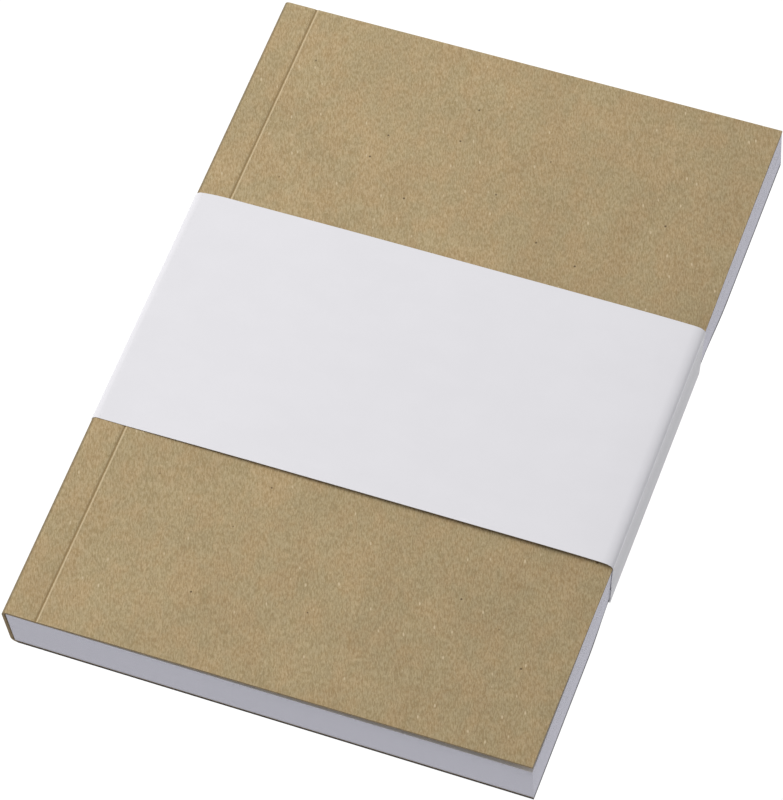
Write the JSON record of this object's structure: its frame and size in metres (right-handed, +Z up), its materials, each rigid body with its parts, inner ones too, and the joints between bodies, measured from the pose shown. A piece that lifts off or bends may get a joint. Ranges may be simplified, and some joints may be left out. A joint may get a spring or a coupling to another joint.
{
  "type": "pocket notebook",
  "caption": "Perfect-bound pocket notebook with a scored kraft card wrap cover, plain leaves and a removable paper belly band.",
  "frame": {"origin": "centre of the bounding box of the closed book with its band on, at the underside of the band it lies on", "axes": "+X from the spine to the fore-edge, +Y along the spine from the tail to the head, +Z up out of the front cover"},
  "size_m": [0.1058, 0.148, 0.0113],
  "materials": {
    "kraft_card": "uncoated recycled card with fibres and specks",
    "leaf_paper": "uncoated cut paper",
    "band_paper": "smooth white paper",
    "binding_glue": "set hot-melt glue"
  },
  "bodies": {
    "bound_edge": {"cover_spine": "kraft_card", "spine_glue": "binding_glue", "side_glue_front": "binding_glue", "side_glue_back": "binding_glue", "bound_margin": "leaf_paper"},
    "front_cover": {"front_cover": "kraft_card"},
    "back_cover": {"back_cover": "kraft_card"},
    "leaf_pair_01": {"leaf_pair_01": "leaf_paper"},
    "leaf_pair_02": {"leaf_pair_02": "leaf_paper"},
    "leaf_pair_03": {"leaf_pair_03": "leaf_paper"},
    "leaf_pair_04": {"leaf_pair_04": "leaf_paper"},
    "leaf_pair_05": {"leaf_pair_05": "leaf_paper"},
    "leaf_pair_06": {"leaf_pair_06": "leaf_paper"},
    "leaf_pair_07": {"leaf_pair_07": "leaf_paper"},
    "leaf_pair_08": {"leaf_pair_08": "leaf_paper"},
    "leaf_pair_09": {"leaf_pair_09": "leaf_paper"},
    "leaf_pair_10": {"leaf_pair_10": "leaf_paper"},
    "leaf_pair_11": {"leaf_pair_11": "leaf_paper"},
    "leaf_pair_12": {"leaf_pair_12": "leaf_paper"},
    "leaf_pair_13": {"leaf_pair_13": "leaf_paper"},
    "leaf_pair_14": {"leaf_pair_14": "leaf_paper"},
    "leaf_pair_15": {"leaf_pair_15": "leaf_paper"},
    "leaf_pair_16": {"leaf_pair_16": "leaf_paper"},
    "leaf_pair_17": {"leaf_pair_17": "leaf_paper"},
    "leaf_pair_18": {"leaf_pair_18": "leaf_paper"},
    "leaf_pair_19": {"leaf_pair_19": "leaf_paper"},
    "leaf_pair_20": {"leaf_pair_20": "leaf_paper"},
    "leaf_pair_21": {"leaf_pair_21": "leaf_paper"},
    "leaf_pair_22": {"leaf_pair_22": "leaf_paper"},
    "leaf_pair_23": {"leaf_pair_23": "leaf_paper"},
    "leaf_pair_24": {"leaf_pair_24": "leaf_paper"},
    "leaf_pair_25": {"leaf_pair_25": "leaf_paper"},
    "leaf_pair_26": {"leaf_pair_26": "leaf_paper"},
    "leaf_pair_27": {"leaf_pair_27": "leaf_paper"},
    "leaf_pair_28": {"leaf_pair_28": "leaf_paper"},
    "leaf_pair_29": {"leaf_pair_29": "leaf_paper"},
    "leaf_pair_30": {"leaf_pair_30": "leaf_paper"},
    "leaf_pair_31": {"leaf_pair_31": "leaf_paper"},
    "leaf_pair_32": {"leaf_pair_32": "leaf_paper"},
    "leaf_pair_33": {"leaf_pair_33": "leaf_paper"},
    "leaf_pair_34": {"leaf_pair_34": "leaf_paper"},
    "leaf_pair_35": {"leaf_pair_35": "leaf_paper"},
    "leaf_pair_36": {"leaf_pair_36": "leaf_paper"},
    "leaf_pair_37": {"leaf_pair_37": "leaf_paper"},
    "leaf_pair_38": {"leaf_pair_38": "leaf_paper"},
    "leaf_pair_39": {"leaf_pair_39": "leaf_paper"},
    "leaf_pair_40": {"leaf_pair_40": "leaf_paper"},
    "leaf_pair_41": {"leaf_pair_41": "leaf_paper"},
    "leaf_pair_42": {"leaf_pair_42": "leaf_paper"},
    "leaf_pair_43": {"leaf_pair_43": "leaf_paper"},
    "leaf_pair_44": {"leaf_pair_44": "leaf_paper"},
    "leaf_pair_45": {"leaf_pair_45": "leaf_paper"},
    "leaf_pair_46": {"leaf_pair_46": "leaf_paper"},
    "leaf_pair_47": {"leaf_pair_47": "leaf_paper"},
    "leaf_pair_48": {"leaf_pair_48": "leaf_paper"},
    "band_spine": {"band_spine": "band_paper"},
    "band_front": {"band_front": "band_paper"},
    "band_back": {"band_back": "band_paper", "band_seal": "binding_glue"}
  },
  "joints": [
    {"name": "front_cover_hinge", "type": "hinge", "parent": "bound_edge", "child": "front_cover", "pos_m": [-0.04568, 0, 0.01135], "axis": [0, -1, 0], "range_deg": [0, 179]},
    {"name": "back_cover_hinge", "type": "hinge", "parent": "bound_edge", "child": "back_cover", "pos_m": [-0.04568, 0, -0.00005], "axis": [0, 1, 0], "range_deg": [0, 179]},
    {"name": "leaf_pair_01_turn", "type": "hinge", "parent": "bound_edge", "child": "leaf_pair_01", "pos_m": [-0.04344, 0, 0.00095], "axis": [0, -1, 0], "range_deg": [0, 1.99]},
    {"name": "leaf_pair_02_turn", "type": "hinge", "parent": "bound_edge", "child": "leaf_pair_02", "pos_m": [-0.04349, 0, 0.00115], "axis": [0, -1, 0], "range_deg": [0, 3.97]},
    {"name": "leaf_pair_03_turn", "type": "hinge", "parent": "bound_edge", "child": "leaf_pair_03", "pos_m": [-0.04353, 0, 0.00135], "axis": [0, -1, 0], "range_deg": [0, 5.95]},
    {"name": "leaf_pair_04_turn", "type": "hinge", "parent": "bound_edge", "child": "leaf_pair_04", "pos_m": [-0.04356, 0, 0.00155], "axis": [0, -1, 0], "range_deg": [0, 7.93]},
    {"name": "leaf_pair_05_turn", "type": "hinge", "parent": "bound_edge", "child": "leaf_pair_05", "pos_m": [-0.0436, 0, 0.00175], "axis": [0, -1, 0], "range_deg": [0, 9.91]},
    {"name": "leaf_pair_06_turn", "type": "hinge", "parent": "bound_edge", "child": "leaf_pair_06", "pos_m": [-0.04365, 0, 0.00195], "axis": [0, -1, 0], "range_deg": [0, 11.88]},
    {"name": "leaf_pair_07_turn", "type": "hinge", "parent": "bound_edge", "child": "leaf_pair_07", "pos_m": [-0.04369, 0, 0.00215], "axis": [0, -1, 0], "range_deg": [0, 13.86]},
    {"name": "leaf_pair_08_turn", "type": "hinge", "parent": "bound_edge", "child": "leaf_pair_08", "pos_m": [-0.04372, 0, 0.00235], "axis": [0, -1, 0], "range_deg": [0, 15.84]},
    {"name": "leaf_pair_09_turn", "type": "hinge", "parent": "bound_edge", "child": "leaf_pair_09", "pos_m": [-0.04376, 0, 0.00255], "axis": [0, -1, 0], "range_deg": [0, 17.82]},
    {"name": "leaf_pair_10_turn", "type": "hinge", "parent": "bound_edge", "child": "leaf_pair_10", "pos_m": [-0.0438, 0, 0.00275], "axis": [0, -1, 0], "range_deg": [0, 19.8]},
    {"name": "leaf_pair_11_turn", "type": "hinge", "parent": "bound_edge", "child": "leaf_pair_11", "pos_m": [-0.04385, 0, 0.00295], "axis": [0, -1, 0], "range_deg": [0, 21.78]},
    {"name": "leaf_pair_12_turn", "type": "hinge", "parent": "bound_edge", "child": "leaf_pair_12", "pos_m": [-0.04389, 0, 0.00315], "axis": [0, -1, 0], "range_deg": [0, 23.76]},
    {"name": "leaf_pair_13_turn", "type": "hinge", "parent": "bound_edge", "child": "leaf_pair_13", "pos_m": [-0.04392, 0, 0.00335], "axis": [0, -1, 0], "range_deg": [0, 25.74]},
    {"name": "leaf_pair_14_turn", "type": "hinge", "parent": "bound_edge", "child": "leaf_pair_14", "pos_m": [-0.04396, 0, 0.00355], "axis": [0, -1, 0], "range_deg": [0, 27.72]},
    {"name": "leaf_pair_15_turn", "type": "hinge", "parent": "bound_edge", "child": "leaf_pair_15", "pos_m": [-0.04401, 0, 0.00375], "axis": [0, -1, 0], "range_deg": [0, 29.7]},
    {"name": "leaf_pair_16_turn", "type": "hinge", "parent": "bound_edge", "child": "leaf_pair_16", "pos_m": [-0.04405, 0, 0.00395], "axis": [0, -1, 0], "range_deg": [0, 31.68]},
    {"name": "leaf_pair_17_turn", "type": "hinge", "parent": "bound_edge", "child": "leaf_pair_17", "pos_m": [-0.04408, 0, 0.00415], "axis": [0, -1, 0], "range_deg": [0, 33.66]},
    {"name": "leaf_pair_18_turn", "type": "hinge", "parent": "bound_edge", "child": "leaf_pair_18", "pos_m": [-0.04412, 0, 0.00435], "axis": [0, -1, 0], "range_deg": [0, 35.63]},
    {"name": "leaf_pair_19_turn", "type": "hinge", "parent": "bound_edge", "child": "leaf_pair_19", "pos_m": [-0.04417, 0, 0.00455], "axis": [0, -1, 0], "range_deg": [0, 37.61]},
    {"name": "leaf_pair_20_turn", "type": "hinge", "parent": "bound_edge", "child": "leaf_pair_20", "pos_m": [-0.04421, 0, 0.00475], "axis": [0, -1, 0], "range_deg": [0, 39.59]},
    {"name": "leaf_pair_21_turn", "type": "hinge", "parent": "bound_edge", "child": "leaf_pair_21", "pos_m": [-0.04424, 0, 0.00495], "axis": [0, -1, 0], "range_deg": [0, 41.57]},
    {"name": "leaf_pair_22_turn", "type": "hinge", "parent": "bound_edge", "child": "leaf_pair_22", "pos_m": [-0.04428, 0, 0.00515], "axis": [0, -1, 0], "range_deg": [0, 43.55]},
    {"name": "leaf_pair_23_turn", "type": "hinge", "parent": "bound_edge", "child": "leaf_pair_23", "pos_m": [-0.04433, 0, 0.00535], "axis": [0, -1, 0], "range_deg": [0, 45.53]},
    {"name": "leaf_pair_24_turn", "type": "hinge", "parent": "bound_edge", "child": "leaf_pair_24", "pos_m": [-0.04437, 0, 0.00555], "axis": [0, -1, 0], "range_deg": [0, 47.51]},
    {"name": "leaf_pair_25_turn", "type": "hinge", "parent": "bound_edge", "child": "leaf_pair_25", "pos_m": [-0.04441, 0, 0.00575], "axis": [0, -1, 0], "range_deg": [0, 49.49]},
    {"name": "leaf_pair_26_turn", "type": "hinge", "parent": "bound_edge", "child": "leaf_pair_26", "pos_m": [-0.04444, 0, 0.00595], "axis": [0, -1, 0], "range_deg": [0, 51.47]},
    {"name": "leaf_pair_27_turn", "type": "hinge", "parent": "bound_edge", "child": "leaf_pair_27", "pos_m": [-0.04448, 0, 0.00615], "axis": [0, -1, 0], "range_deg": [0, 53.45]},
    {"name": "leaf_pair_28_turn", "type": "hinge", "parent": "bound_edge", "child": "leaf_pair_28", "pos_m": [-0.04453, 0, 0.00635], "axis": [0, -1, 0], "range_deg": [0, 55.43]},
    {"name": "leaf_pair_29_turn", "type": "hinge", "parent": "bound_edge", "child": "leaf_pair_29", "pos_m": [-0.04457, 0, 0.00655], "axis": [0, -1, 0], "range_deg": [0, 57.41]},
    {"name": "leaf_pair_30_turn", "type": "hinge", "parent": "bound_edge", "child": "leaf_pair_30", "pos_m": [-0.0446, 0, 0.00675], "axis": [0, -1, 0], "range_deg": [0, 59.38]},
    {"name": "leaf_pair_31_turn", "type": "hinge", "parent": "bound_edge", "child": "leaf_pair_31", "pos_m": [-0.04464, 0, 0.00695], "axis": [0, -1, 0], "range_deg": [0, 61.36]},
    {"name": "leaf_pair_32_turn", "type": "hinge", "parent": "bound_edge", "child": "leaf_pair_32", "pos_m": [-0.04469, 0, 0.00715], "axis": [0, -1, 0], "range_deg": [0, 63.34]},
    {"name": "leaf_pair_33_turn", "type": "hinge", "parent": "bound_edge", "child": "leaf_pair_33", "pos_m": [-0.04473, 0, 0.00735], "axis": [0, -1, 0], "range_deg": [0, 65.32]},
    {"name": "leaf_pair_34_turn", "type": "hinge", "parent": "bound_edge", "child": "leaf_pair_34", "pos_m": [-0.04476, 0, 0.00755], "axis": [0, -1, 0], "range_deg": [0, 67.3]},
    {"name": "leaf_pair_35_turn", "type": "hinge", "parent": "bound_edge", "child": "leaf_pair_35", "pos_m": [-0.0448, 0, 0.00775], "axis": [0, -1, 0], "range_deg": [0, 69.28]},
    {"name": "leaf_pair_36_turn", "type": "hinge", "parent": "bound_edge", "child": "leaf_pair_36", "pos_m": [-0.04485, 0, 0.00795], "axis": [0, -1, 0], "range_deg": [0, 71.26]},
    {"name": "leaf_pair_37_turn", "type": "hinge", "parent": "bound_edge", "child": "leaf_pair_37", "pos_m": [-0.04489, 0, 0.00815], "axis": [0, -1, 0], "range_deg": [0, 73.24]},
    {"name": "leaf_pair_38_turn", "type": "hinge", "parent": "bound_edge", "child": "leaf_pair_38", "pos_m": [-0.04492, 0, 0.00835], "axis": [0, -1, 0], "range_deg": [0, 75.22]},
    {"name": "leaf_pair_39_turn", "type": "hinge", "parent": "bound_edge", "child": "leaf_pair_39", "pos_m": [-0.04496, 0, 0.00855], "axis": [0, -1, 0], "range_deg": [0, 77.2]},
    {"name": "leaf_pair_40_turn", "type": "hinge", "parent": "bound_edge", "child": "leaf_pair_40", "pos_m": [-0.04501, 0, 0.00875], "axis": [0, -1, 0], "range_deg": [0, 79.18]},
    {"name": "leaf_pair_41_turn", "type": "hinge", "parent": "bound_edge", "child": "leaf_pair_41", "pos_m": [-0.04505, 0, 0.00895], "axis": [0, -1, 0], "range_deg": [0, 81.16]},
    {"name": "leaf_pair_42_turn", "type": "hinge", "parent": "bound_edge", "child": "leaf_pair_42", "pos_m": [-0.04509, 0, 0.00915], "axis": [0, -1, 0], "range_deg": [0, 83.14]},
    {"name": "leaf_pair_43_turn", "type": "hinge", "parent": "bound_edge", "child": "leaf_pair_43", "pos_m": [-0.04512, 0, 0.00935], "axis": [0, -1, 0], "range_deg": [0, 85.11]},
    {"name": "leaf_pair_44_turn", "type": "hinge", "parent": "bound_edge", "child": "leaf_pair_44", "pos_m": [-0.04516, 0, 0.00955], "axis": [0, -1, 0], "range_deg": [0, 87.09]},
    {"name": "leaf_pair_45_turn", "type": "hinge", "parent": "bound_edge", "child": "leaf_pair_45", "pos_m": [-0.04521, 0, 0.00975], "axis": [0, -1, 0], "range_deg": [0, 89.07]},
    {"name": "leaf_pair_46_turn", "type": "hinge", "parent": "bound_edge", "child": "leaf_pair_46", "pos_m": [-0.04525, 0, 0.00995], "axis": [0, -1, 0], "range_deg": [0, 91.05]},
    {"name": "leaf_pair_47_turn", "type": "hinge", "parent": "bound_edge", "child": "leaf_pair_47", "pos_m": [-0.04528, 0, 0.01015], "axis": [0, -1, 0], "range_deg": [0, 93.03]},
    {"name": "leaf_pair_48_turn", "type": "hinge", "parent": "bound_edge", "child": "leaf_pair_48", "pos_m": [-0.04532, 0, 0.01035], "axis": [0, -1, 0], "range_deg": [0, 95.01]},
    {"name": "band_slide", "type": "slide", "parent": "bound_edge", "child": "band_spine", "axis": [0, 1, 0], "range_m": [-0.12, 0.12]},
    {"name": "band_front_slide", "type": "slide", "parent": "front_cover", "child": "band_front", "axis": [0, 1, 0], "range_m": [-0.12, 0.12]},
    {"name": "band_back_slide", "type": "slide", "parent": "back_cover", "child": "band_back", "axis": [0, 1, 0], "range_m": [-0.12, 0.12]}
  ],
  "couplings": [
    {"joint": "leaf_pair_01_turn", "follows": "front_cover_hinge", "ratio": 0.01106},
    {"joint": "leaf_pair_02_turn", "follows": "front_cover_hinge", "ratio": 0.02211},
    {"joint": "leaf_pair_03_turn", "follows": "front_cover_hinge", "ratio": 0.03317},
    {"joint": "leaf_pair_04_turn", "follows": "front_cover_hinge", "ratio": 0.04423},
    {"joint": "leaf_pair_05_turn", "follows": "front_cover_hinge", "ratio": 0.05528},
    {"joint": "leaf_pair_06_turn", "follows": "front_cover_hinge", "ratio": 0.06634},
    {"joint": "leaf_pair_07_turn", "follows": "front_cover_hinge", "ratio": 0.0774},
    {"joint": "leaf_pair_08_turn", "follows": "front_cover_hinge", "ratio": 0.08845},
    {"joint": "leaf_pair_09_turn", "follows": "front_cover_hinge", "ratio": 0.09951},
    {"joint": "leaf_pair_10_turn", "follows": "front_cover_hinge", "ratio": 0.11057},
    {"joint": "leaf_pair_11_turn", "follows": "front_cover_hinge", "ratio": 0.12162},
    {"joint": "leaf_pair_12_turn", "follows": "front_cover_hinge", "ratio": 0.13268},
    {"joint": "leaf_pair_13_turn", "follows": "front_cover_hinge", "ratio": 0.14374},
    {"joint": "leaf_pair_14_turn", "follows": "front_cover_hinge", "ratio": 0.1548},
    {"joint": "leaf_pair_15_turn", "follows": "front_cover_hinge", "ratio": 0.16585},
    {"joint": "leaf_pair_16_turn", "follows": "front_cover_hinge", "ratio": 0.17691},
    {"joint": "leaf_pair_17_turn", "follows": "front_cover_hinge", "ratio": 0.18797},
    {"joint": "leaf_pair_18_turn", "follows": "front_cover_hinge", "ratio": 0.19902},
    {"joint": "leaf_pair_19_turn", "follows": "front_cover_hinge", "ratio": 0.21008},
    {"joint": "leaf_pair_20_turn", "follows": "front_cover_hinge", "ratio": 0.22114},
    {"joint": "leaf_pair_21_turn", "follows": "front_cover_hinge", "ratio": 0.23219},
    {"joint": "leaf_pair_22_turn", "follows": "front_cover_hinge", "ratio": 0.24325},
    {"joint": "leaf_pair_23_turn", "follows": "front_cover_hinge", "ratio": 0.25431},
    {"joint": "leaf_pair_24_turn", "follows": "front_cover_hinge", "ratio": 0.26536},
    {"joint": "leaf_pair_25_turn", "follows": "front_cover_hinge", "ratio": 0.27642},
    {"joint": "leaf_pair_26_turn", "follows": "front_cover_hinge", "ratio": 0.28748},
    {"joint": "leaf_pair_27_turn", "follows": "front_cover_hinge", "ratio": 0.29853},
    {"joint": "leaf_pair_28_turn", "follows": "front_cover_hinge", "ratio": 0.30959},
    {"joint": "leaf_pair_29_turn", "follows": "front_cover_hinge", "ratio": 0.32065},
    {"joint": "leaf_pair_30_turn", "follows": "front_cover_hinge", "ratio": 0.3317},
    {"joint": "leaf_pair_31_turn", "follows": "front_cover_hinge", "ratio": 0.34276},
    {"joint": "leaf_pair_32_turn", "follows": "front_cover_hinge", "ratio": 0.35382},
    {"joint": "leaf_pair_33_turn", "follows": "front_cover_hinge", "ratio": 0.36487},
    {"joint": "leaf_pair_34_turn", "follows": "front_cover_hinge", "ratio": 0.37593},
    {"joint": "leaf_pair_35_turn", "follows": "front_cover_hinge", "ratio": 0.38699},
    {"joint": "leaf_pair_36_turn", "follows": "front_cover_hinge", "ratio": 0.39804},
    {"joint": "leaf_pair_37_turn", "follows": "front_cover_hinge", "ratio": 0.4091},
    {"joint": "leaf_pair_38_turn", "follows": "front_cover_hinge", "ratio": 0.42016},
    {"joint": "leaf_pair_39_turn", "follows": "front_cover_hinge", "ratio": 0.43122},
    {"joint": "leaf_pair_40_turn", "follows": "front_cover_hinge", "ratio": 0.44227},
    {"joint": "leaf_pair_41_turn", "follows": "front_cover_hinge", "ratio": 0.45333},
    {"joint": "leaf_pair_42_turn", "follows": "front_cover_hinge", "ratio": 0.46439},
    {"joint": "leaf_pair_43_turn", "follows": "front_cover_hinge", "ratio": 0.47544},
    {"joint": "leaf_pair_44_turn", "follows": "front_cover_hinge", "ratio": 0.4865},
    {"joint": "leaf_pair_45_turn", "follows": "front_cover_hinge", "ratio": 0.49756},
    {"joint": "leaf_pair_46_turn", "follows": "front_cover_hinge", "ratio": 0.50861},
    {"joint": "leaf_pair_47_turn", "follows": "front_cover_hinge", "ratio": 0.51967},
    {"joint": "leaf_pair_48_turn", "follows": "front_cover_hinge", "ratio": 0.53073},
    {"joint": "band_front_slide", "follows": "band_slide", "ratio": 1},
    {"joint": "band_back_slide", "follows": "band_slide", "ratio": 1}
  ]
}
